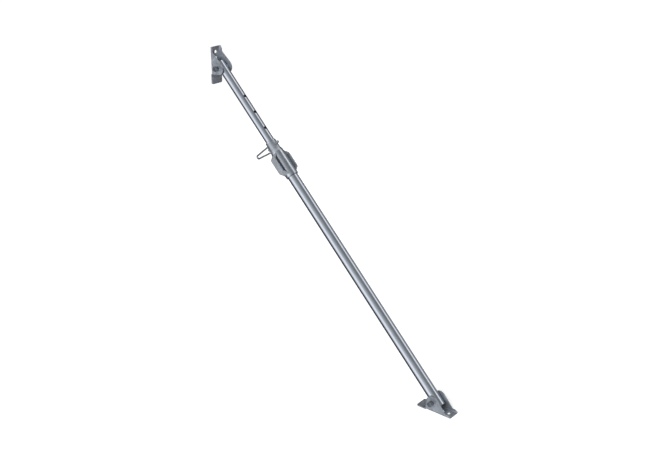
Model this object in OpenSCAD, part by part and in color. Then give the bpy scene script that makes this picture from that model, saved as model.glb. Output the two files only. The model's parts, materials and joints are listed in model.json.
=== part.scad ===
// Push-pull steel prop: a telescopic wall brace with a sleeve nut, a locking pin and two hinged end plates.
// +Z is up, the hinge axes run along Y, and the prop leans from the floor plate towards the wall at -X.
// The origin is on the floor plate's underside, straight below the foot hinge.

/* [Posture] */
// Angle between the prop and the floor, in degrees
prop_angle = 46; // [35:1:60]
// Foot hinge to locking pin, with the nut screwed down
foot_to_pin = 1517; // [1300:1:1700]
// Which hole of the inner tube holds the pin, counted from the wall end
pinned_hole = 4; // [3:1:7]

/* [Tubes] */
// Outside diameter of the outer tube
outer_d = 57; // [54:0.1:60]
// Wall of the outer tube
outer_wall = 3.2; // [2.5:0.1:3.6]
// Outer tube past the foot hinge
outer_tail = 34; // [26:1:35]
// Outer tube's top edge below the locking pin
outer_top_drop = 62; // [58:1:70]
// Outside diameter of the inner tube
inner_d = 48.3; // [44:0.1:49]
// Wall of the inner tube
inner_wall = 2.9; // [2:0.1:4]
// Length of the inner tube
inner_len = 1630; // [1560:1:1680]
// Inner tube past the wall hinge
inner_tail = 30; // [24:1:36]

/* [Pin holes] */
// Hole diameter in the inner tube
hole_d = 16; // [15:0.1:18]
// Spacing of the holes
hole_pitch = 100; // [80:1:110]
// Wall hinge to the first hole
first_hole = 200; // [150:1:220]
// Number of holes
hole_count = 13; // [8:1:13]

/* [Sleeve nut] */
// Outside diameter of the sleeve
sleeve_d = 69; // [68:0.1:74]
// Wall of the sleeve
sleeve_wall = 3; // [2.6:0.1:3.2]
// Length of the sleeve
sleeve_len = 160; // [150:1:170]
// Top of the sleeve below the locking pin
sleeve_top_drop = 25; // [22:1:28]
// Height of the rolled-in lip's slope
lip_slope = 14; // [10:1:18]
// Thickness of the rolled-in lip
lip_t = 9; // [6:0.5:10]
// Flat rim at the lip's top
lip_rim = 1.8; // [1:0.1:2.4]
// Height of the cone below the lip, inside
lip_cone = 4; // [2:0.5:6]
// Length of the threaded bush
bush_len = 50; // [40:1:60]
// Bush set back from the sleeve's lower rim
bush_recess = 4; // [2:0.5:8]
// Thickness of the thrust ring
thrust_t = 6; // [4:0.5:8]

/* [Handles] */
// Width of the flat bar
strap_w = 35; // [30:1:40]
// Thickness of the flat bar
strap_t = 6; // [5:0.5:8]
// Outer face of the handle from the prop's axis
strap_reach = 57; // [54:1:64]
// Length of the straight grip between its bends
grip_len = 82; // [70:1:84]
// Run of each slanted leg along the prop
leg_run = 19; // [14:1:22]
// Handle's lower end above the sleeve's lower rim
handle_rise = 18; // [5:1:22]
// Bend radius on the bar's centre line
strap_bend = 10; // [8:0.5:12]

/* [Pin collar] */
// Outside diameter of the collar
collar_d = 57.8; // [56:0.1:58.5]
// Collar above the locking pin
collar_rise = 29; // [24:1:34]
// Thickness of the collar's flange
flange_t = 10; // [6:0.5:12]
// Width of the groove round the collar
groove_w = 2.4; // [1.5:0.1:4]
// Depth of that groove
groove_depth = 1.2; // [0.6:0.1:1.6]
// Chamfer of the collar's top
collar_chamfer = 2; // [1:0.5:3]
// Groove above the locking pin's axis
groove_rise = 18; // [9:0.5:22]

/* [Locking pin] */
// Pin diameter
pin_d = 14; // [12:0.1:14.5]
// Pin past the prop's axis, on its plain end
pin_reach = 50; // [42:1:60]
// Pin past the prop's axis, on its loop end
pin_heel = 45; // [42:1:50]
// Chamfer of the plain end
pin_chamfer = 2.5; // [1:0.5:4]
// Diameter of the loop's rod
loop_rod_d = 10; // [8:0.5:12]
// Loop's end leg from the prop's axis
loop_root = 36; // [35.5:0.5:38]
// Half width of the loop at its root
loop_half = 17; // [16:0.5:20]
// Length of the loop from root to tip
loop_len = 108; // [90:1:120]
// Half width of the loop at its tip
tip_half = 8.5; // [8:0.5:10]
// Rise of the loop's tip along the prop
tip_rise = 18; // [0:1:24]
// Bend radius on the rod's centre line
loop_bend = 8; // [7:0.5:8]

/* [End plates] */
// Height of the hinge axis above a plate's underside
pivot_h = 52; // [50:1:60]
// Thickness of the folded plate
plate_t = 6; // [5:0.5:6]
// Width over the cheeks
plate_w = 72; // [72:1:80]
// Hinge to the toe end
toe_len = 104; // [95:1:115]
// Hinge to the heel end
heel_len = 92; // [85:1:100]
// Radius of the cheek's ear round the hinge
ear_r = 34; // [28:1:38]
// Foot of the cheek from the hinge towards the heel
cheek_back = 38; // [34:1:44]
// Height of the lips at the toe
lip_h = 15; // [12:1:20]
// Length of the lips
lip_len = 28; // [24:1:40]
// Inner radius of the fold
fold_r = 4; // [2:0.5:6]
// Radius of the heel's corners
heel_r = 10; // [5:1:16]
// Anchor hole diameter
anchor_d = 18; // [14:0.5:20]
// Toe end to the first anchor hole
anchor_toe = 28; // [22:1:32]
// First to second anchor hole
anchor_step = 34; // [26:1:36]

/* [Hinge bolts] */
// Bolt diameter
bolt_d = 16; // [14:1:16]
// Hole for the bolt
bolt_hole_d = 17; // [16.5:0.1:18]
// Hexagon across its flats
hex_af = 24; // [23:0.5:26]
// Height of the bolt head
head_h = 10; // [8:0.5:12]
// Height of the nut
nut_h = 14.8; // [12:0.1:16]
// Height of the thin lock nut
jam_h = 8; // [6:0.5:10]
// Bolt end past the lock nut
bolt_stub = 3; // [1:0.5:6]
// Washer diameter
washer_d = 30; // [28:0.5:34]
// Washer thickness
washer_t = 3; // [2:0.5:4]
// Width of the bevel that turns the hexagon's corners off
hex_bevel = 2.4; // [1.5:0.1:3]
// Chamfer of the bolt's end
bolt_chamfer = 1.5; // [0.5:0.5:2]
// Outside diameter of the pivot bush
pivot_bush_d = 27; // [24:0.5:30]

/* [Fits] */
// Radial gap between the thread of the tube and of the bush
thread_gap = 0.1; // [0.05:0.05:0.1]
// Radial gap where one piece turns or slides in another
run_gap = 0.3; // [0.2:0.05:0.4]
// Gap left at pieces that are pressed or welded in
seat_gap = 0.05; // [0.02:0.01:0.08]
// Side play of a pivot bush between the cheeks
side_play = 0.5; // [0.3:0.1:0.8]

/* [Hidden] */
$fn = 96;
cut = 1;
rod_sides = 24;
bend_step = 12;
zinc = "#aab0b8";
bright_zinc = "#c3c9d2";
dull_zinc = "#8f959c";

// Along the prop, measured from the foot hinge
pin_to_wall = first_hole + (pinned_hole - 1) * hole_pitch;
prop_len = foot_to_pin + pin_to_wall;
outer_top = foot_to_pin - outer_top_drop;
inner_top = prop_len + inner_tail;
inner_bottom = inner_top - inner_len;
sleeve_top = foot_to_pin - sleeve_top_drop;
sleeve_bottom = sleeve_top - sleeve_len;
shoulder = sleeve_top - lip_t;
handle_low = sleeve_bottom + handle_rise;

// Radii
outer_r = outer_d / 2;
inner_r = inner_d / 2;
sleeve_r = sleeve_d / 2;
sleeve_bore_r = sleeve_r - sleeve_wall;
collar_r = collar_d / 2;
lip_bore_r = collar_r + run_gap;
flange_r = sleeve_bore_r - run_gap;
flange_top = shoulder - lip_cone - run_gap;
flange_bottom = flange_top - flange_t;
thrust_top = flange_bottom - run_gap;
collar_bore_r = inner_r + run_gap;
cheek_y = plate_w / 2;
pivot_bush_len = plate_w - 2 * plate_t - 2 * side_play;

// Wall hinge in the row's frame
wall_pivot = [-prop_len * cos(prop_angle), 0, pivot_h + prop_len * sin(prop_angle)];

// ---------- Placing ----------

// The prop's own frame: its axis is Z, the hinge axis is Y and the pin lies along X
module on_prop() {
    translate([0, 0, pivot_h])
        rotate([0, prop_angle - 90, 0])
            children();
}

// A plate's own frame has the hinge at its origin, the toe at +X and the base below
module at_floor_hinge() {
    translate([0, 0, pivot_h])
        children();
}

module at_wall_hinge() {
    translate(wall_pivot)
        children();
}

// Turns a plate so that its toe points up and its base faces the wall
module against_wall() {
    rotate(180, [1, 0, 1])
        children();
}

// ---------- Shapes that repeat ----------

module tube(r_out, r_in, from, to) {
    translate([0, 0, from])
        difference() {
            cylinder(r = r_out, h = to - from);
            translate([0, 0, -cut])
                cylinder(r = r_in, h = to - from + 2 * cut);
        }
}

// A round bar along Y, centred on the hinge axis
module y_bar(r, from, to) {
    translate([0, from, 0])
        rotate([-90, 0, 0])
            cylinder(r = r, h = to - from);
}

// A round bar along X at a height
module x_bar(r, from, to, height) {
    translate([from, 0, height])
        rotate([0, 90, 0])
            cylinder(r = r, h = to - from);
}

function unit(v) = v / norm(v);
function heading(v) = atan2(v.y, v.x);

// At corner i of a bent path: the way in, the way out and how far the path turns
function way_in(path, i) = unit(path[i] - path[i - 1]);
function way_out(path, i) = unit(path[i + 1] - path[i]);
function turn(path, i) = acos(way_in(path, i) * way_out(path, i));
function turns_left(path, i) = cross(way_in(path, i), way_out(path, i)) > 0;
function setback(path, i, r) = i == 0 || i == len(path) - 1 ? 0 : r * tan(turn(path, i) / 2);
function bend_centre(path, i, r) =
    path[i] + unit(way_out(path, i) - way_in(path, i)) * r / cos(turn(path, i) / 2);
function bend_start(path, i) =
    turns_left(path, i) ? heading(way_in(path, i)) - 90 : heading(way_out(path, i)) + 90;

// The bent path as points, with every corner rounded to one radius in steps of the bend
function bend_points(path, i, r) =
    let (steps = ceil(turn(path, i) / bend_step), sweep = turn(path, i) / steps)
    let (angles = [for (k = [0 : steps]) bend_start(path, i) + k * sweep])
    let (arc = [for (a = angles) bend_centre(path, i, r) + r * [cos(a), sin(a)]])
    turns_left(path, i) ? arc : [for (k = [steps : -1 : 0]) arc[k]];
function rounded_path(path, r) =
    [path[0], each [for (i = [1 : len(path) - 2]) each bend_points(path, i, r)], path[len(path) - 1]];
function along(points, i) =
    unit(points[min(i + 1, len(points) - 1)] - points[max(i - 1, 0)]);

// A round rod bent along a flat path: one ring of points at each step, closed by flat ends
module bent_rod(path, d, r) {
    line = rounded_path(path, r);
    rings = [
        for (i = [0 : len(line) - 1], k = [0 : rod_sides - 1])
            let (t = along(line, i), a = 360 * k / rod_sides)
                [line[i].x - t.y * d / 2 * cos(a), line[i].y + t.x * d / 2 * cos(a), d / 2 * sin(a)]
    ];
    last = (len(line) - 1) * rod_sides;
    walls = [
        for (i = [0 : len(line) - 2], k = [0 : rod_sides - 1])
            let (near = i * rod_sides, next = (k + 1) % rod_sides)
                each [[near + k, near + next, near + rod_sides + next],
                      [near + k, near + rod_sides + next, near + rod_sides + k]]
    ];
    ends = [
        [for (k = [rod_sides - 1 : -1 : 0]) k],
        [for (k = [0 : rod_sides - 1]) last + k]
    ];
    polyhedron(rings, concat(walls, ends));
}

// A flat bar bent along a flat path, seen from its edge
module bent_strip(path, t, r) {
    for (i = [0 : len(path) - 2]) {
        dir = unit(path[i + 1] - path[i]);
        start = path[i] + dir * setback(path, i, r);
        stop = path[i + 1] - dir * setback(path, i + 1, r);
        translate(start)
            rotate(heading(dir))
                translate([0, -t / 2])
                    square([norm(stop - start), t]);
    }
    for (i = [1 : len(path) - 2])
        translate(bend_centre(path, i, r))
            rotate(bend_start(path, i))
                intersection() {
                    difference() {
                        circle(r = r + t / 2);
                        circle(r = r - t / 2);
                    }
                    polygon([for (a = [0 : 0.5 : 1]) [cos(a * turn(path, i)), sin(a * turn(path, i))] * 3 * r,
                             [0, 0]]);
                }
}

// ---------- End plates ----------

// The folded channel's section, across the plate
module channel_section() {
    module trough(half, r, floor_z) {
        translate([-half + r, floor_z])
            square([2 * (half - r), pivot_h]);
        translate([-half, floor_z + r])
            square([2 * half, pivot_h + ear_r]);
        for (side = [-1, 1])
            translate([side * (half - r), floor_z + r])
                circle(r = r);
    }
    difference() {
        trough(cheek_y, fold_r + plate_t, 0);
        trough(cheek_y - plate_t, fold_r, plate_t);
    }
}

// Where a straight edge from a point meets the ear's circle, on one side of it
function ear_touch(ear, from, side) =
    let (to = from - ear, a = heading(to) + side * acos(ear_r / norm(to))) ear + ear_r * [cos(a), sin(a)];

// The cheek's outline, with the toe at the right: a round ear between two straight edges, and a low lip
module cheek_outline() {
    ear = [0, pivot_h];
    fold_top = [-cheek_back, plate_t + fold_r];
    lip_start = [toe_len - lip_len, lip_h];
    polygon([
        [-cheek_back, 0], [toe_len, 0], [toe_len, lip_h / 2], [toe_len - lip_h, lip_h], lip_start,
        ear_touch(ear, lip_start, 1), ear, ear_touch(ear, fold_top, -1), fold_top
    ]);
    translate(ear)
        circle(r = ear_r);
}

module heel_outline() {
    depth = heel_len - cheek_back;
    translate([-heel_len + heel_r, -cheek_y])
        square([depth - heel_r, plate_w]);
    translate([-heel_len, -cheek_y + heel_r])
        square([heel_r, plate_w - 2 * heel_r]);
    for (side = [-1, 1])
        translate([-heel_len + heel_r, side * (cheek_y - heel_r)])
            circle(r = heel_r);
}

// Both ends use the same plate
module end_plate() {
    difference() {
        translate([0, 0, -pivot_h]) {
            intersection() {
                translate([-cheek_back, 0, 0])
                    rotate([90, 0, 90])
                        linear_extrude(toe_len + cheek_back)
                            channel_section();
                rotate([90, 0, 0])
                    linear_extrude(plate_w + 2 * cut, center = true)
                        cheek_outline();
            }
            linear_extrude(plate_t)
                heel_outline();
        }
        y_bar(bolt_hole_d / 2, -cheek_y - cut, cheek_y + cut);
        for (x = [toe_len - anchor_toe, toe_len - anchor_toe - anchor_step])
            translate([x, 0, -pivot_h - cut])
                cylinder(d = anchor_d, h = plate_t + 2 * cut);
    }
}

// ---------- Hinge fasteners, along Y from the hinge axis ----------

// A hexagon with its corners turned off at one or both ends
module hexagon(height, both_ends) {
    corner_r = hex_af / 2 / cos(30);
    face_r = corner_r - hex_bevel;
    drop = hex_bevel * tan(30);
    intersection() {
        cylinder(r = corner_r, h = height, $fn = 6);
        rotate_extrude()
            polygon([
                [0, 0], [both_ends ? face_r : corner_r, 0], [corner_r, both_ends ? drop : 0],
                [corner_r, height - drop], [face_r, height], [0, height]
            ]);
    }
}

module hinge_bolt() {
    seat = cheek_y + washer_t;
    reach = seat + nut_h + jam_h + bolt_stub;
    tip_r = bolt_d / 2 - bolt_chamfer;
    translate([0, seat, 0])
        rotate([-90, 0, 0])
            hexagon(head_h, false);
    translate([0, -reach, 0])
        rotate([-90, 0, 0])
            rotate_extrude()
                polygon([[0, 0], [tip_r, 0], [bolt_d / 2, bolt_chamfer], [bolt_d / 2, reach + seat],
                         [0, reach + seat]]);
}

module hinge_nut(from, height) {
    difference() {
        translate([0, -from, 0])
            rotate([90, 0, 0])
                hexagon(height, true);
        y_bar(bolt_d / 2 + seat_gap, -from - height - cut, cut - from);
    }
}

module hinge_washers() {
    for (y = [-cheek_y - washer_t, cheek_y])
        difference() {
            y_bar(washer_d / 2, y, y + washer_t);
            y_bar(bolt_hole_d / 2, y - cut, y + washer_t + cut);
        }
}

module pivot_bush() {
    half = pivot_bush_len / 2;
    difference() {
        y_bar(pivot_bush_d / 2, -half, half);
        y_bar(bolt_hole_d / 2, -half - cut, half + cut);
    }
}

module tube_cross_bore(z) {
    translate([0, 0, z])
        y_bar(pivot_bush_d / 2 + seat_gap, -outer_d, outer_d);
}

// ---------- Outer tube ----------

module outer_tube() {
    color(bright_zinc)
        on_prop()
            difference() {
                tube(outer_r, outer_r - outer_wall, -outer_tail, outer_top);
                tube_cross_bore(0);
            }
}

module foot_pivot_bush() {
    color(zinc)
        on_prop()
            pivot_bush();
}

// ---------- Floor plate ----------

module floor_plate() {
    color(zinc)
        at_floor_hinge()
            end_plate();
}

module floor_hinge_bolt() {
    color(dull_zinc)
        at_floor_hinge()
            hinge_bolt();
}

module floor_hinge_washers() {
    color(zinc)
        at_floor_hinge()
            hinge_washers();
}

module floor_hinge_nut() {
    color(dull_zinc)
        at_floor_hinge()
            hinge_nut(cheek_y + washer_t, nut_h);
}

module floor_lock_nut() {
    color(dull_zinc)
        at_floor_hinge()
            hinge_nut(cheek_y + washer_t + nut_h, jam_h);
}

// ---------- Inner tube and collar ----------

module inner_tube() {
    color(bright_zinc)
        on_prop()
            difference() {
                tube(inner_r, inner_r - inner_wall, inner_bottom, inner_top);
                tube_cross_bore(prop_len);
                for (i = [0 : hole_count - 1])
                    x_bar(hole_d / 2, -inner_d, inner_d, prop_len - first_hole - i * hole_pitch);
            }
}

module wall_pivot_bush() {
    color(zinc)
        on_prop()
            translate([0, 0, prop_len])
                pivot_bush();
}

module pin_collar() {
    top = foot_to_pin + collar_rise;
    groove = foot_to_pin + groove_rise;
    color(zinc)
        on_prop()
            difference() {
                rotate_extrude()
                    polygon([
                        [collar_bore_r, flange_bottom], [flange_r, flange_bottom], [flange_r, flange_top],
                        [collar_r, flange_top], [collar_r, groove], [collar_r - groove_depth, groove],
                        [collar_r - groove_depth, groove + groove_w], [collar_r, groove + groove_w],
                        [collar_r, top - collar_chamfer], [collar_r - collar_chamfer, top],
                        [collar_bore_r, top]
                    ]);
                x_bar(pin_d / 2 + run_gap, -sleeve_d, sleeve_d, foot_to_pin);
            }
}

// ---------- Sleeve nut ----------

module sleeve_nut() {
    color(zinc)
        on_prop()
            rotate_extrude()
                polygon([
                    [sleeve_bore_r, sleeve_bottom], [sleeve_r, sleeve_bottom],
                    [sleeve_r, sleeve_top - lip_slope], [lip_bore_r + lip_rim, sleeve_top],
                    [lip_bore_r, sleeve_top], [lip_bore_r, shoulder], [sleeve_bore_r, shoulder - lip_cone]
                ]);
}

module threaded_bush() {
    from = sleeve_bottom + bush_recess;
    color(dull_zinc)
        on_prop()
            tube(sleeve_bore_r - seat_gap, outer_r + thread_gap, from, from + bush_len);
}

module thrust_ring() {
    color(dull_zinc)
        on_prop()
            tube(sleeve_bore_r - seat_gap, outer_r + run_gap, thrust_top - thrust_t, thrust_top);
}

// A strap handle: a flat bar bent outwards, its ends shaped to the sleeve and welded on
module strap_handle() {
    root = sleeve_r - strap_t;
    crest = strap_reach - strap_t / 2;
    difference() {
        translate([strap_w / 2, 0, handle_low])
            rotate([90, 0, -90])
                linear_extrude(strap_w)
                    bent_strip([
                        [-root, 0], [-crest, leg_run], [-crest, leg_run + grip_len],
                        [-root, 2 * leg_run + grip_len]
                    ], strap_t, strap_bend);
        cylinder(r = sleeve_r + seat_gap, h = sleeve_top);
    }
}

module near_handle() {
    color(zinc)
        on_prop()
            rotate(180)
                strap_handle();
}

module far_handle() {
    color(zinc)
        on_prop()
            strap_handle();
}

// ---------- Locking pin ----------

module locking_pin() {
    color(bright_zinc)
        on_prop()
            translate([-pin_heel, 0, foot_to_pin])
                rotate([0, 90, 0])
                    rotate_extrude()
                        polygon([
                            [0, 0], [pin_d / 2, 0], [pin_d / 2, pin_heel + pin_reach - pin_chamfer],
                            [pin_d / 2 - pin_chamfer, pin_heel + pin_reach], [0, pin_heel + pin_reach]
                        ]);
}

module pin_loop() {
    tip = loop_root + loop_len;
    color(zinc)
        on_prop()
            translate([0, 0, foot_to_pin])
                difference() {
                    rotate([90, 0, 0])
                        bent_rod([
                            [-loop_root, 0], [-loop_root, loop_half], [-tip, tip_rise + tip_half],
                            [-tip, tip_rise - tip_half], [-loop_root, -loop_half], [-loop_root, 0]
                        ], loop_rod_d, loop_bend);
                    x_bar(pin_d / 2 + seat_gap, -pin_heel - loop_rod_d, 0, 0);
                }
}

// ---------- Wall plate ----------

module wall_plate() {
    color(zinc)
        at_wall_hinge()
            against_wall()
                end_plate();
}

module wall_hinge_bolt() {
    color(dull_zinc)
        at_wall_hinge()
            hinge_bolt();
}

module wall_hinge_washers() {
    color(zinc)
        at_wall_hinge()
            hinge_washers();
}

module wall_hinge_nut() {
    color(dull_zinc)
        at_wall_hinge()
            hinge_nut(cheek_y + washer_t, nut_h);
}

module wall_lock_nut() {
    color(dull_zinc)
        at_wall_hinge()
            hinge_nut(cheek_y + washer_t + nut_h, jam_h);
}

outer_tube();
foot_pivot_bush();
floor_plate();
floor_hinge_bolt();
floor_hinge_washers();
floor_hinge_nut();
floor_lock_nut();
inner_tube();
wall_pivot_bush();
pin_collar();
sleeve_nut();
threaded_bush();
thrust_ring();
near_handle();
far_handle();
locking_pin();
pin_loop();
wall_plate();
wall_hinge_bolt();
wall_hinge_washers();
wall_hinge_nut();
wall_lock_nut();
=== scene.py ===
import json
import math

import bmesh
import bpy
from mathutils import Matrix, Vector


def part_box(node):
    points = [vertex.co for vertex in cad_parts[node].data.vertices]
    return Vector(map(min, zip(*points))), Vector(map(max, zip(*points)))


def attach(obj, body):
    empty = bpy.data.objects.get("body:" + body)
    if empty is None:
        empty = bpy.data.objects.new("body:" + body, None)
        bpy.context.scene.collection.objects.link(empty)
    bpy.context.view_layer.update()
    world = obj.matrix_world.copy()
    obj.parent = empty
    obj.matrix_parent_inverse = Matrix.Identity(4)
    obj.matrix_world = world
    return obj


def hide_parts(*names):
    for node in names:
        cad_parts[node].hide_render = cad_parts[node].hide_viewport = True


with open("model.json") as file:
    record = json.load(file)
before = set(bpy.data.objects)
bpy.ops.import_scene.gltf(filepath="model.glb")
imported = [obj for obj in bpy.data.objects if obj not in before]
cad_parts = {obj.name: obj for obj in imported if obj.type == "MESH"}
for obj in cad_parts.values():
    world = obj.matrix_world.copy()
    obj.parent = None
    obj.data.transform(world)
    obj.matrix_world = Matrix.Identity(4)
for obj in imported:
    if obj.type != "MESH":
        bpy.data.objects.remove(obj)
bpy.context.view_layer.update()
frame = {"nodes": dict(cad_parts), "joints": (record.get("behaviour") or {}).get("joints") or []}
nodes = frame["nodes"]

# ---------- The prop's own frame, from the joints ----------

joints = {j["name"]: j for j in frame["joints"]}
FOOT = Vector(joints["foot_hinge"]["pos_m"])
WALL = Vector(joints["wall_hinge"]["pos_m"])
ALONG = Vector(joints["fine_adjust"]["axis"]).normalized()   # up the prop
SIDE = Vector(joints["foot_hinge"]["axis"]).normalized()     # along the hinge bolts
ACROSS = SIDE.cross(ALONG)                                   # along the locking pin
PROP = Matrix.Translation(FOOT) @ Matrix((ACROSS, SIDE, ALONG)).transposed().to_4x4()
PROP_INVERSE = PROP.inverted()
MM = 0.001


# ---------- Node helpers ----------

class Graph:
    """A small builder for shader nodes."""

    def __init__(self, tree):
        self.tree = tree
        tree.nodes.clear()

    def add(self, kind, settings=None, **inputs):
        node = self.tree.nodes.new(kind)
        for key, value in (settings or {}).items():
            setattr(node, key, value)
        for key, value in inputs.items():
            self.set(node, key.replace("_", " "), value)
        return node

    def set(self, node, key, value):
        socket = node.inputs[int(key)] if key.isdigit() else node.inputs[key]
        if isinstance(value, bpy.types.NodeSocket):
            self.tree.links.new(value, socket)
        else:
            socket.default_value = value

    def math(self, operation, a, b=0.0, c=0.0, clamp=False):
        node = self.add("ShaderNodeMath", {"operation": operation, "use_clamp": clamp})
        for i, value in enumerate((a, b, c)):
            self.set(node, str(i), value)
        return node.outputs[0]

    def dot(self, vector, direction):
        node = self.add("ShaderNodeVectorMath", {"operation": "DOT_PRODUCT"})
        self.set(node, "0", vector)
        self.set(node, "1", tuple(direction) if isinstance(direction, Vector) else direction)
        return node.outputs["Value"]

    def spread(self, value, low, high, to_low=0.0, to_high=1.0):
        node = self.add("ShaderNodeMapRange", {"interpolation_type": "SMOOTHSTEP"}, Value=value)
        for key, number in (("From Min", low), ("From Max", high), ("To Min", to_low), ("To Max", to_high)):
            node.inputs[key].default_value = number
        return node.outputs[0]

    def ramp(self, value, stops):
        node = self.add("ShaderNodeValToRGB", Fac=value)
        ramp = node.color_ramp
        while len(ramp.elements) < len(stops):
            ramp.elements.new(0.5)
        for element, (place, colour) in zip(ramp.elements, stops):
            element.position = place
            element.color = colour if len(colour) == 4 else (*colour, 1)
        return node.outputs["Color"]

    def mix(self, factor, a, b):
        node = self.add("ShaderNodeMix", {"data_type": "RGBA"})
        self.set(node, "0", factor)
        self.set(node, "6", a if isinstance(a, bpy.types.NodeSocket) else (*a, 1))
        self.set(node, "7", b if isinstance(b, bpy.types.NodeSocket) else (*b, 1))
        return node.outputs[2]


# ---------- Materials ----------

STREAK_STRETCH = 0.03         # streaks are drawn out along the prop by the inverse of this
WOBBLE_SCALE, WOBBLE_SIZE = 260.0, 0.0028
PATCH_SCALE, STREAK_SCALE, GRAIN_SCALE = 14.0, 420.0, 2600.0
# Edges lighter in patches: partly wear, partly a painted edge highlight
WORN_HIGHLIGHT_SHARE, WORN_HIGHLIGHT_LIGHTER = 0.45, 1.35
DULL_EDGE, DULL_ROUGHER, DULL_SHARE = 0.3 * MM, 0.26, 0.7
BUMP_DEPTH = 0.0004

def in_prop(node):
    """A CAD node's points in the prop's own frame."""
    return [PROP_INVERSE @ v.co for v in nodes[node].data.vertices]


def span(node, axis):
    """The lowest and highest place of a CAD node's points along an axis of the prop's own frame."""
    values = [p[axis] for p in in_prop(node)]
    return min(values), max(values)


def radii(node):
    """How far a CAD node's points lie from the prop's axis: the least and the most."""
    values = [math.hypot(p.x, p.y) for p in in_prop(node)]
    return min(values), max(values)


def half_width(node, axis):
    """Half of a CAD node's extent along an axis of the prop's own frame."""
    low, high = span(node, axis)
    return (high - low) / 2


def galvanised(name, dark, light, rough, spangle=11, spangle_share=0.35, streak_share=0.25,
               metallic=1.0, bump=0.25, edge=0.0006, dull_below=None):
    """Zinc-coated steel: crystal spangle, drawn streaks along the prop, patches, and edges lightened as wear
    and as a painted edge highlight.
    Below the height dull_below, along the prop, it is rougher and its colour is mixed towards the dark
    colour."""
    mat = bpy.data.materials.new(name)
    mat.use_nodes = True
    g = Graph(mat.node_tree)
    place = g.add("ShaderNodeTexCoord").outputs["Object"]
    lean = g.add("ShaderNodeMapping", {"vector_type": "TEXTURE"}, Vector=place)
    lean.inputs["Rotation"].default_value = PROP.to_euler()
    drawn = g.add("ShaderNodeMapping", Vector=lean.outputs[0])
    drawn.inputs["Scale"].default_value = (1, 1, STREAK_STRETCH)

    wobble = g.add("ShaderNodeTexNoise", Vector=place, Scale=WOBBLE_SCALE, Detail=2.0)
    warped = g.add("ShaderNodeVectorMath", {"operation": "MULTIPLY_ADD"})
    g.set(warped, "0", wobble.outputs["Color"])
    g.set(warped, "1", (WOBBLE_SIZE,) * 3)
    g.set(warped, "2", place)
    crystal = g.add("ShaderNodeTexVoronoi", Vector=warped.outputs[0], Scale=1 / (spangle * MM))
    crystal_tone = g.add("ShaderNodeSeparateColor", Color=crystal.outputs["Color"]).outputs[0]
    patch = g.add("ShaderNodeTexNoise", Vector=place, Scale=PATCH_SCALE, Detail=5.0, Roughness=0.6).outputs[0]
    streak = g.add("ShaderNodeTexNoise", Vector=drawn.outputs[0], Scale=STREAK_SCALE, Detail=4.0).outputs[0]
    grain = g.add("ShaderNodeTexNoise", Vector=place, Scale=GRAIN_SCALE, Detail=3.0).outputs[0]

    tone = g.math("MULTIPLY", crystal_tone, spangle_share)
    tone = g.math("MULTIPLY_ADD", g.spread(streak, 0.3, 0.7), streak_share, tone)
    tone = g.math("MULTIPLY_ADD", g.spread(patch, 0.3, 0.7), 1 - spangle_share - streak_share, tone)
    colour = g.mix(tone, dark, light)

    round_edge = g.add("ShaderNodeBevel", {"samples": 4}, Radius=edge)
    true_normal = g.add("ShaderNodeNewGeometry").outputs["Normal"]
    on_edge = g.spread(g.dot(round_edge.outputs[0], true_normal), 0.999, 0.93)
    # Lighter, smoother edges in patches: wear, and also a painted edge highlight
    worn_and_highlit = g.math("MULTIPLY", on_edge, g.spread(patch, 0.35, 0.6))
    polished_and_highlit = tuple(min(1, c * WORN_HIGHLIGHT_LIGHTER) for c in light)
    colour = g.mix(g.math("MULTIPLY", worn_and_highlit, WORN_HIGHLIGHT_SHARE), colour, polished_and_highlit)

    roughness = g.math("MULTIPLY_ADD", g.spread(patch, 0.25, 0.75), 0.10, rough - 0.05)
    roughness = g.math("MULTIPLY_ADD", crystal_tone, 0.06, roughness)
    roughness = g.math("MULTIPLY_ADD", worn_and_highlit, -0.08, roughness)
    if dull_below is not None:
        height = g.math("SUBTRACT", g.dot(place, ALONG), FOOT.dot(ALONG))
        # Below that height: rougher, and its colour runs towards the dark colour
        dull = g.spread(height, dull_below + DULL_EDGE, dull_below - DULL_EDGE)
        roughness = g.math("MULTIPLY_ADD", dull, DULL_ROUGHER, roughness)
        colour = g.mix(g.math("MULTIPLY", dull, DULL_SHARE), colour, dark)

    relief = g.math("MULTIPLY_ADD", grain, 0.5, g.math("MULTIPLY", streak, 0.3))
    relief = g.math("MULTIPLY_ADD", crystal.outputs["Distance"], 40 * MM * spangle, relief)
    relief = g.math("MULTIPLY_ADD", patch, 0.8, relief)
    bumped = g.add("ShaderNodeBump", Height=relief, Strength=bump, Distance=BUMP_DEPTH)
    g.set(bumped, "Normal", round_edge.outputs[0])

    shader = g.add("ShaderNodeBsdfPrincipled")
    g.set(shader, "Base Color", colour)
    g.set(shader, "Metallic", metallic)
    g.set(shader, "Roughness", roughness)
    g.set(shader, "Normal", bumped.outputs[0])
    out = g.add("ShaderNodeOutputMaterial")
    g.set(out, "Surface", shader.outputs[0])
    return mat


COLLAR_RIM = 9.5 * MM      # height of the collar's bright rim

# dark and light colour, roughness, spangle in mm, shares of spangle and streaks, then metallic and bump
TUBE = galvanised("tube_zinc", (0.50, 0.53, 0.58), (0.64, 0.67, 0.72), 0.14, 9, 0.25, 0.45, bump=0.12)
SLEEVE = galvanised("sleeve_zinc", (0.46, 0.49, 0.53), (0.60, 0.63, 0.67), 0.22, 12, 0.35, 0.25, bump=0.15)
PLATE = galvanised("plate_zinc", (0.31, 0.34, 0.38), (0.56, 0.60, 0.66), 0.32, 13, 0.45, 0.0, 0.66)
STRAP = galvanised("strap_zinc", (0.30, 0.325, 0.36), (0.47, 0.50, 0.55), 0.36, 10, 0.4, 0.0, 0.45)
COLLAR = galvanised("collar_zinc", (0.46, 0.49, 0.53), (0.66, 0.69, 0.73), 0.18, 12, 0.35, 0.25, bump=0.15,
                    dull_below=span("pin_collar", 2)[1] - COLLAR_RIM)
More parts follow.
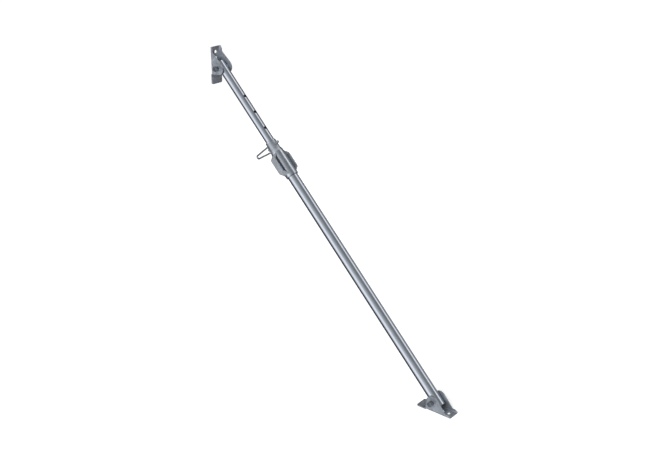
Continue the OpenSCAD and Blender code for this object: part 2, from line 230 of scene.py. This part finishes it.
# The loop is a darker zinc than the pin it is welded to: painted shade for the dark surroundings the rod
# mirrors
LOOP_PAINTED_DARK = galvanised("loop_zinc_painted_shade", (0.28, 0.30, 0.33), (0.50, 0.52, 0.56), 0.26, 6, 0.3, 0.0)
BRIGHT = galvanised("pin_zinc", (0.50, 0.53, 0.57), (0.66, 0.69, 0.73), 0.28, 6, 0.3, 0.1)
# Bolts, nuts and rings get a much darker zinc than the rest: painted shade standing in for their shadowed
# flanks
FASTENER_PAINTED_DARK = galvanised("fastener_zinc", (0.14, 0.15, 0.17), (0.30, 0.315, 0.35), 0.24, 5, 0.3, 0.0, 0.95)
WELD = galvanised("weld_zinc", (0.34, 0.36, 0.39), (0.50, 0.52, 0.56), 0.42, 4, 0.3, 0.0, 0.9, 0.4)

finish = {
    TUBE: ["outer_tube", "inner_tube"],
    PLATE: ["floor_plate", "wall_plate", "floor_hinge_washers", "wall_hinge_washers"],
    STRAP: ["near_handle", "far_handle"],
    SLEEVE: ["sleeve_nut"],
    COLLAR: ["pin_collar"],
    LOOP_PAINTED_DARK: ["pin_loop"],
    BRIGHT: ["locking_pin", "foot_pivot_bush", "wall_pivot_bush"],
    FASTENER_PAINTED_DARK: ["floor_hinge_bolt", "floor_hinge_nut", "floor_lock_nut", "wall_hinge_bolt",
               "wall_hinge_nut", "wall_lock_nut", "threaded_bush", "thrust_ring"],
}
for mat, names in finish.items():
    for name in names:
        node = nodes[name]
        node.data.materials.clear()
        node.data.materials.append(mat)

# ---------- Sizes of the pieces made here ----------

SEAT = 0.05 * MM              # gap left at pieces that are pressed or welded in
THREAD_PITCH = 8 * MM         # the nut's travel for one turn
THREAD_DEPTH = 1.3 * MM
THREAD_BELOW_NUT = 4 * MM     # where the thread starts, below the sleeve's lower rim
THREAD_STEPS = 16             # rings of points to a turn
TUBE_SIDES = 96
TUBE_RIM = 0.4 * MM           # chamfer at the tube's lower end
BESIDE_BUSH = 4 * MM          # where rings of points frame the hole for the pivot bush
BOLT_PITCH = 2 * MM
BOLT_THREAD_DEPTH = 1.1 * MM
BOLT_THREAD_INSIDE = 6 * MM   # how far the thread runs on behind the nut
BOLT_THREAD_STEPS = 10
BOLT_SIDES = 48
BOLT_CHAMFER = 1.5 * MM
BOLT_FACE = 0.95              # washer face and top of the head, as a share of half the width over flats
WASHER_FACE = 0.5 * MM        # its thickness
HEAD_BEVEL = math.radians(30)
BEVEL_STEPS = 6
BEAD_SIDES = 10
RIPPLE = 2.6 * MM             # length of one pass of a weld
RIPPLE_STEPS = 4
HANDLE_BEAD = 2.1 * MM        # radii of the weld beads
BUSH_BEAD = 1.5 * MM
PIVOT_BEAD = 1.2 * MM
LOOP_BEAD = 1.3 * MM
LOOP_RIPPLE = 1.8 * MM
BUSH_BEAD_IN = 0.2 * MM       # how far these beads are set into their seats
PIVOT_BEAD_IN = 0.4 * MM
RING_SIDES = 48
LEG_SIDES = 32
SMOOTH_BELOW = 40             # degrees
WELD_SMOOTH_BELOW = 80


# ---------- Mesh helpers ----------

def make(name, verts, faces, mat, body, smooth_below=SMOOTH_BELOW):
    """A piece of the object from points and faces: smooth where its faces meet at a low angle."""
    mesh = bpy.data.meshes.new(name)
    mesh.from_pydata([tuple(v) for v in verts], [], faces)
    b = bmesh.new()
    b.from_mesh(mesh)
    bmesh.ops.remove_doubles(b, verts=b.verts, dist=1e-7)
    bmesh.ops.dissolve_degenerate(b, edges=b.edges, dist=1e-7)
    bmesh.ops.recalc_face_normals(b, faces=b.faces)
    b.to_mesh(mesh)
    b.free()
    mesh.polygons.foreach_set("use_smooth", [True] * len(mesh.polygons))
    mesh.set_sharp_from_angle(angle=math.radians(smooth_below))
    obj = bpy.data.objects.new(name, mesh)
    bpy.context.scene.collection.objects.link(obj)
    mesh.materials.append(mat)
    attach(obj, body)
    return obj


def rings_to_faces(rings, sides, closed=False, first=0):
    """Quads between rings of points, with flat ends unless the path closes on itself."""
    faces = []
    for i in range(rings if closed else rings - 1):
        a, b = first + i * sides, first + (i + 1) % rings * sides
        faces += [(a + k, a + (k + 1) % sides, b + (k + 1) % sides, b + k) for k in range(sides)]
    if not closed:
        faces.append(tuple(first + k for k in range(sides)))
        faces.append(tuple(first + (rings - 1) * sides + k for k in range(sides)))
    return faces


# ---------- Weld beads ----------

def even_steps(path, step, closed):
    """Points at an even spacing along a path."""
    points = list(path) + ([path[0]] if closed else [])
    lengths = [(q - p).length for p, q in zip(points, points[1:])]
    count = max(8, round(sum(lengths) / step))
    result = []
    for i in range(count if closed else count + 1):
        left = sum(lengths) * i / count
        k = 0
        while k < len(lengths) - 1 and left > lengths[k]:
            left -= lengths[k]
            k += 1
        result.append(points[k].lerp(points[k + 1], min(1, left / max(lengths[k], 1e-9))))
    return result


def rounded(path, passes, closed):
    """Cuts the corners of a path."""
    for _ in range(passes):
        pairs = list(zip(path, path[1:] + path[:1])) if closed else list(zip(path, path[1:]))
        cut = [p for a, b in pairs for p in (a.lerp(b, 0.25), a.lerp(b, 0.75))]
        path = cut if closed else [path[0]] + cut[1:-1] + [path[-1]]
    return path


def bead(path, radius, outward, closed=True, ripple=RIPPLE, sides=BEAD_SIDES):
    """Points and faces of a weld bead along a path in the prop's frame, with the ripples of its passes."""
    path = even_steps(rounded(path, 2, closed), ripple / RIPPLE_STEPS, closed)
    verts = []
    for i, p in enumerate(path):
        before = path[i - 1] if closed or i > 0 else p
        after = path[(i + 1) % len(path)] if closed or i < len(path) - 1 else p
        t = (after - before).normalized()
        n = outward(p)
        n = (n - t * n.dot(t)).normalized()
        w = t.cross(n)
        wave = 0.5 + 0.5 * math.cos(math.tau * (i % RIPPLE_STEPS) / RIPPLE_STEPS)
        r = radius * (0.90 + 0.14 * wave + 0.05 * math.sin(i * 0.37))
        if not closed:
            r *= min(1, 0.35 + min(i, len(path) - 1 - i) / 4)
        for k in range(sides):
            a = math.tau * k / sides
            verts.append(p + n * r * math.cos(a) + w * r * 1.15 * math.sin(a))
    return verts, rings_to_faces(len(path), sides, closed)


def welds(name, beads, body):
    verts, faces = [], []
    for points, quads in beads:
        faces += [tuple(len(verts) + k for k in face) for face in quads]
        verts += [PROP @ p for p in points]
    return make(name, verts, faces, WELD, body, WELD_SMOOTH_BELOW)


def from_axis(p):
    return Vector((p.x, p.y, 0))


def foot_loops(node, radius):
    """Closed loops of points round the faces of a CAD node that lie on a cylinder round the prop."""
    b = bmesh.new()
    b.from_mesh(nodes[node].data)
    bmesh.ops.remove_doubles(b, verts=b.verts, dist=1e-6)
    place = {v: PROP_INVERSE @ v.co for v in b.verts}
    touching = {v for v, p in place.items() if abs(math.hypot(p.x, p.y) - radius) < 0.15 * MM}
    patch = {f for f in b.faces if all(v in touching for v in f.verts)}
    rim = [e for e in b.edges if sum(f in patch for f in e.link_faces) == 1]
    after = {}
    for e in rim:
        for v in e.verts:
            after.setdefault(v, []).append(e.other_vert(v))
    loops = []
    while after:
        start = next(iter(after))
        loop, here, last = [], start, None
        while True:
            loop.append(place[here].copy())
            following = [v for v in after.pop(here) if v is not last and v in after]
            if not following:
                break
            here, last = following[0], here
        loops.append(loop)
    b.free()
    return [loop for loop in loops if len(loop) > 3]


def handle_welds():
    sleeve_r = radii("sleeve_nut")[1]
    for side in ("near", "far"):
        loops = foot_loops(side + "_handle", sleeve_r + SEAT)
        welds(side + "_handle_welds", [bead(loop, HANDLE_BEAD, from_axis) for loop in loops], "nut")


def ring_bead(radius, height, bead_radius):
    path = [Vector((radius * math.cos(a), radius * math.sin(a), height))
            for a in (math.tau * k / RING_SIDES for k in range(RING_SIDES))]
    return bead(path, bead_radius, from_axis)


def bush_weld():
    """The threaded bush is welded in round the sleeve's lower mouth."""
    low = span("threaded_bush", 2)[0]
    outer = radii("threaded_bush")[1]
    welds("threaded_bush_weld", [ring_bead(outer - BUSH_BEAD_IN, low, BUSH_BEAD)], "nut")


def pivot_welds(name, tube_r, height, body):
    """Where a pivot bush leaves its tube, on both sides."""
    bush_r = half_width(name, 0)
    beads = []
    for side in (-1, 1):
        path = []
        for k in range(RING_SIDES):
            a = math.tau * k / RING_SIDES
            x = bush_r * math.cos(a)
            y = side * (math.sqrt(tube_r ** 2 - x * x) - PIVOT_BEAD_IN)
            path.append(Vector((x, y, height + bush_r * math.sin(a))))
        beads.append(bead(path, PIVOT_BEAD, lambda p: Vector((p.x, 0, p.z - height))))
    welds(name + "_welds", beads, body)


def loop_weld():
    """Where the loop's end leg is welded round the pin."""
    rod_r = half_width("pin_loop", 1)
    pin_r = half_width("locking_pin", 1)
    pin_z = sum(span("locking_pin", 2)) / 2
    leg_x = span("pin_loop", 0)[1] - rod_r
    beads = []
    for side in (-1, 1):
        path = []
        for k in range(LEG_SIDES):
            a = math.tau * k / LEG_SIDES
            y = rod_r * math.sin(a)
            z = pin_z + side * math.sqrt(pin_r ** 2 - y * y)
            path.append(Vector((leg_x + rod_r * math.cos(a), y, z)))
        beads.append(bead(path, LOOP_BEAD, lambda p: Vector((p.x - leg_x, p.y, 0)), ripple=LOOP_RIPPLE))
    welds("pin_loop_welds", beads, "pin")


# ---------- Threads ----------

def thread_depth(turns):
    """How deep a rounded thread is cut, from 0 at its crest to 1 at its root, at this many turns along."""
    part = turns % 1
    rise = min(part, 1 - part) * 2
    flank = min(1, max(0, (rise - 0.30) / 0.40))
    return flank * flank * (3 - 2 * flank)


def threaded_profile(radius, depth, pitch, start, stop, runout, sides, per_turn, place):
    """Rings of points from start to stop, cut by a right-hand thread that fades out at the start."""
    count = round((stop - start) / pitch * per_turn)
    verts = []
    for i in range(count + 1):
        z = start + (stop - start) * i / count
        fade = min(1, (z - start) / runout)
        for k in range(sides):
            a = math.tau * k / sides
            r = radius - depth * fade * thread_depth(z / pitch - k / sides)
            verts.append(place(r * math.cos(a), r * math.sin(a), z))
    return verts


def bored(obj, places, radius, length):
    """Cuts round holes through a piece, each given by its centre and direction in the row frame."""
    for centre, direction in places:
        mesh = bpy.data.meshes.new("drill")
        b = bmesh.new()
        turn = direction.to_track_quat("Z", "Y").to_matrix().to_4x4()
        bmesh.ops.create_cone(b, cap_ends=True, segments=64, radius1=radius, radius2=radius, depth=length,
                              matrix=Matrix.Translation(centre) @ turn)
        b.to_mesh(mesh)
        b.free()
        drill = bpy.data.objects.new("drill", mesh)
        bpy.context.scene.collection.objects.link(drill)
        cut = obj.modifiers.new("hole", "BOOLEAN")
        cut.operation = "DIFFERENCE"
        cut.solver = "EXACT"
        cut.object = drill
        depsgraph = bpy.context.evaluated_depsgraph_get()
        new = bpy.data.meshes.new_from_object(obj.evaluated_get(depsgraph))
        obj.modifiers.clear()
        obj.data = new
        bpy.data.objects.remove(drill)
    obj.data.polygons.foreach_set("use_smooth", [True] * len(obj.data.polygons))
    obj.data.set_sharp_from_angle(angle=math.radians(SMOOTH_BELOW))


def circle(radius, z, sides, place):
    """One ring of points; the radius is a number or a function of the angle."""
    angles = [math.tau * k / sides for k in range(sides)]
    at = radius if callable(radius) else lambda a: radius
    return [place(at(a) * math.cos(a), at(a) * math.sin(a), z) for a in angles]


def threaded_outer_tube():
    """The outer tube with the thread that the nut runs on, cut into its upper end."""
    sides, rim = TUBE_SIDES, TUBE_RIM
    low, high = span("outer_tube", 2)
    inner, outer = radii("outer_tube")
    bush_r = half_width("foot_pivot_bush", 0)
    beside = bush_r + BESIDE_BUSH
    start = span("sleeve_nut", 2)[0] - THREAD_BELOW_NUT

    def place(x, y, z):
        return PROP @ Vector((x, y, z))

    verts = circle(outer - rim, low, sides, place) + circle(outer, low + rim, sides, place)
    verts += circle(outer, -beside, sides, place) + circle(outer, beside, sides, place)
    cut = threaded_profile(outer, THREAD_DEPTH, THREAD_PITCH, start, high - THREAD_DEPTH, THREAD_PITCH,
                           sides, THREAD_STEPS, place)
    verts += cut + circle(outer - THREAD_DEPTH, high, sides, place) + circle(inner, high, sides, place)
    verts += circle(inner, beside, sides, place) + circle(inner, -beside, sides, place)
    verts += circle(inner, low, sides, place)
    faces = rings_to_faces(len(verts) // sides, sides, True)
    obj = make("outer_tube_threaded", verts, faces, TUBE, "outer")
    bored(obj, [(FOOT, SIDE)], bush_r + SEAT, 4 * outer)
    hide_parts("outer_tube")


def hinge_bolt(end, body):
    """A hinge bolt with a washer face under its bevelled head and a thread at its end."""
    sides = BOLT_SIDES
    node = end + "_hinge_bolt"
    low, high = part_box(node)
    centre = (low + high) / 2
    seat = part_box(end + "_hinge_washers")[1].y
    flat = (high.z - low.z) / 2
    corner = (high.x - low.x) / 2
    points = [v.co - centre for v in nodes[node].data.vertices if v.co.y < seat - MM]
    shank = max(math.hypot(p.x, p.z) for p in points)
    face = flat * BOLT_FACE
    nut_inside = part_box(end + "_hinge_nut")[1].y

    def place(x, y, z):
        return Vector((centre.x + x, -z, centre.z + y))

    def hexagon(limit):
        return lambda a: min(flat / math.cos(a % (math.pi / 3) - math.pi / 6), limit)

    verts = circle(face, -high.y, sides, place)
    for step in range(BEVEL_STEPS + 1):
        limit = face + (corner - face) * step / BEVEL_STEPS
        verts += circle(hexagon(limit), -high.y + (limit - face) * math.tan(HEAD_BEVEL), sides, place)
    verts += circle(hexagon(corner), -seat - WASHER_FACE, sides, place)
    verts += circle(face, -seat - WASHER_FACE, sides, place) + circle(face, -seat, sides, place)
    verts += circle(shank, -seat, sides, place)
    cut = threaded_profile(shank, BOLT_THREAD_DEPTH, BOLT_PITCH, -nut_inside - BOLT_THREAD_INSIDE,
                           -low.y - BOLT_CHAMFER, BOLT_PITCH, sides, BOLT_THREAD_STEPS, place)
    verts += cut + circle(shank - BOLT_CHAMFER, -low.y, sides, place)
    faces = rings_to_faces(len(verts) // sides, sides)
    obj = make(node + "_threaded", verts, faces, FASTENER_PAINTED_DARK, body)
    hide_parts(node)


threaded_outer_tube()
hinge_bolt("floor", "floor")
hinge_bolt("wall", "wall")
handle_welds()
bush_weld()
pivot_welds("foot_pivot_bush", radii("outer_tube")[1], 0, "outer")
pivot_welds("wall_pivot_bush", radii("inner_tube")[1], (WALL - FOOT).length, "inner")
loop_weld()


# ---------- Floor, world and lights ----------

# What the camera sees on top of the floor's own light, near the prop and far from it: it brings the floor
# to white and leaves only the shadow grey
FLOOR_LIFT = (0.62, 0.74)
NEAR_FLOOR, FAR_FLOOR = 1.5, 6.0    # distances from the foot hinge
FLOOR_SIZE = 60                     # from its middle to its edges
FLOOR_DARK, FLOOR_LIGHT = (0.83, 0.83, 0.835), (0.86, 0.86, 0.865)
PLAIN_LIGHT = 0.34                  # what the world gives to surfaces that aren't mirrors


def floor():
    size = FLOOR_SIZE
    mesh = bpy.data.meshes.new("floor")
    corners = [(-size, -size, 0), (size, -size, 0), (size, size, 0), (-size, size, 0)]
    mesh.from_pydata(corners, [], [(0, 1, 2, 3)])
    obj = bpy.data.objects.new("floor", mesh)
    bpy.context.scene.collection.objects.link(obj)
    mat = bpy.data.materials.new("pale_floor")
    mat.use_nodes = True
    g = Graph(mat.node_tree)
    place = g.add("ShaderNodeTexCoord").outputs["Object"]
    cloud = g.add("ShaderNodeTexNoise", Vector=place, Scale=1.5, Detail=3.0).outputs[0]
    ground = g.add("ShaderNodeBsdfDiffuse")
    g.set(ground, "Color", g.mix(cloud, FLOOR_DARK, FLOOR_LIGHT))
    path = g.add("ShaderNodeLightPath")
    seen = g.math("ADD", path.outputs["Is Camera Ray"], path.outputs["Is Glossy Ray"])
    seen = g.math("ADD", seen, path.outputs["Is Transmission Ray"], clamp=True)
    white = g.add("ShaderNodeEmission", Color=(1, 1, 1, 1))
    away = g.add("ShaderNodeVectorMath", {"operation": "DISTANCE"})
    g.set(away, "0", place)
    g.set(away, "1", tuple(FOOT))
    lift = g.spread(away.outputs["Value"], NEAR_FLOOR, FAR_FLOOR, *FLOOR_LIFT)
    g.set(white, "Strength", g.math("MULTIPLY", seen, lift))
    both = g.add("ShaderNodeAddShader")
    g.set(both, "0", ground.outputs[0])
    g.set(both, "1", white.outputs[0])
    out = g.add("ShaderNodeOutputMaterial")
    g.set(out, "Surface", both.outputs[0])
    mesh.materials.append(mat)
    obj.visible_glossy = False


def studio_world():
    """White to the eye; the metal sees softboxes and flags that run parallel to the prop."""
    world = bpy.data.worlds.new("studio")
    bpy.context.scene.world = world
    world.use_nodes = True
    g = Graph(world.node_tree)
    ray = g.add("ShaderNodeTexCoord").outputs["Generated"]
    turn = g.math("ARCTAN2", g.dot(ray, RIGHT_OF), g.dot(ray, FRONT))
    around = g.math("MULTIPLY_ADD", turn, 0.5 / math.pi, 0.5)
    stops = [(0.5 + angle / 360, tuple(level * part for part in COOL)) for angle, level in STUDIO_BAND]
    band = g.ramp(around, stops)
    pole = g.math("ABSOLUTE", g.dot(ray, ALONG))
    at_ends = g.mix(END_SHARE, band, (END_LEVEL,) * 3)
    reflected = g.mix(g.spread(pole, END_FROM, END_TO), band, at_ends)
    shade = 1.0
    for normal in PLATE_FACES:
        behind_flag = g.spread(g.dot(ray, look.reflect(normal)), FLAG_EDGE, FLAG_CORE, 1.0, FLAG_LEVEL)
        shade = g.math("MULTIPLY", shade, behind_flag)
    metal_sees = g.add("ShaderNodeBackground", Color=reflected)
    g.set(metal_sees, "Strength", shade)
    plain = g.add("ShaderNodeBackground", Color=(1, 1, 1, 1), Strength=PLAIN_LIGHT)
    white = g.add("ShaderNodeBackground", Color=(1, 1, 1, 1), Strength=1.0)
    path = g.add("ShaderNodeLightPath")
    lit = g.add("ShaderNodeMixShader")
    g.set(lit, "0", path.outputs["Is Glossy Ray"])
    g.set(lit, "1", plain.outputs[0])
    g.set(lit, "2", metal_sees.outputs[0])
    shown = g.add("ShaderNodeMixShader")
    g.set(shown, "0", path.outputs["Is Camera Ray"])
    g.set(shown, "1", lit.outputs[0])
    g.set(shown, "2", white.outputs[0])
    out = g.add("ShaderNodeOutputWorld")
    g.set(out, "Surface", shown.outputs[0])


def soft_light(name, place, wide, high, watts):
    """A lamp turned to the prop's middle. Mirrors don't show it: they see the studio's bands."""
    data = bpy.data.lights.new(name, "AREA")
    data.shape = "RECTANGLE"
    data.size = wide
    data.size_y = high
    data.energy = watts
    obj = bpy.data.objects.new(name, data)
    obj.location = place
    obj.rotation_euler = (Vector(LIT_POINT) - Vector(place)).to_track_quat("-Z", "Y").to_euler()
    obj.visible_glossy = False
    bpy.context.scene.collection.objects.link(obj)


# ---------- Camera ----------

AZIMUTH = math.radians(40.35)      # the view turns this far from the hinge axis
ELEVATION = math.radians(22.14)    # and looks down this much
ROLL = math.radians(-0.41)
DISTANCE = 5.00586                 # from the point one metre up the prop
AIM = PROP @ Vector((0, 0, 1.0))
OFF_RIGHT, OFF_UP = 0.01402, 0.02522
LENS, SENSOR = 54.03, 36           # mm

look = Vector((-math.sin(AZIMUTH) * math.cos(ELEVATION), math.cos(AZIMUTH) * math.cos(ELEVATION),
               -math.sin(ELEVATION)))
level_right = Vector((math.cos(AZIMUTH), math.sin(AZIMUTH), 0))
level_up = level_right.cross(look)
right = level_right * math.cos(ROLL) + level_up * math.sin(ROLL)
up = level_up * math.cos(ROLL) - level_right * math.sin(ROLL)


def camera():
    data = bpy.data.cameras.new("camera")
    data.sensor_width = SENSOR
    data.lens = LENS
    obj = bpy.data.objects.new("camera", data)
    place = AIM - look * DISTANCE + level_right * OFF_RIGHT + level_up * OFF_UP
    obj.matrix_world = Matrix.Translation(place) @ Matrix((right, up, -look)).transposed().to_4x4()
    bpy.context.scene.collection.objects.link(obj)
    bpy.context.scene.camera = obj


# Directions round the prop as the main view sees it: the angle is 0 towards the viewer
FRONT = (-look - ALONG * (-look).dot(ALONG)).normalized()
RIGHT_OF = ALONG.cross(FRONT)
if RIGHT_OF.dot(level_right) < 0:
    RIGHT_OF = -RIGHT_OF
# Level that the metal sees at each angle: bright box to the left, flag above, strip light to the right
STUDIO_BAND = [
    (-180, 0.55), (-168, 1.00), (-154, 0.90), (-142, 0.07), (-98, 0.06), (-90, 0.40), (-84, 0.50),
    (-70, 1.25), (-52, 1.36), (-40, 1.18), (-29, 0.80), (-14, 0.60), (0, 0.46), (14, 0.35), (29, 0.26),
    (48, 0.26), (60, 0.44), (68, 1.45), (80, 1.45), (88, 0.44), (97, 0.36), (140, 0.36), (165, 0.42),
]
COOL = (0.97, 1.0, 1.04)             # the bands' tint
END_LEVEL, END_SHARE = 0.75, 0.62    # even level beyond the prop's ends, and its share there
END_FROM, END_TO = 0.35, 0.60        # cosines to the prop's axis between which it takes over
# Two round flags keep the plates' open faces dark in the main view: the cosines of their edge and core, and
# the share of light that passes
FLAG_EDGE, FLAG_CORE, FLAG_LEVEL = 0.70, 0.93, 0.12
PLATE_FACES = (Vector((1, 0, 0)), Vector((0, 0, 1)))    # of the wall plate and of the floor plate

LIT_POINT = (-0.7, 0, 0.8)
KEY_PLACE = (0.5, -4.0, 2.8)
BACK_PLACE = (-2.5, 4.0, 1.2)

camera()
floor()
studio_world()
soft_light("key", KEY_PLACE, 1.8, 1.4, 145)
soft_light("back", BACK_PLACE, 2.4, 1.8, 60)
bpy.context.scene.view_settings.view_transform = "Standard"
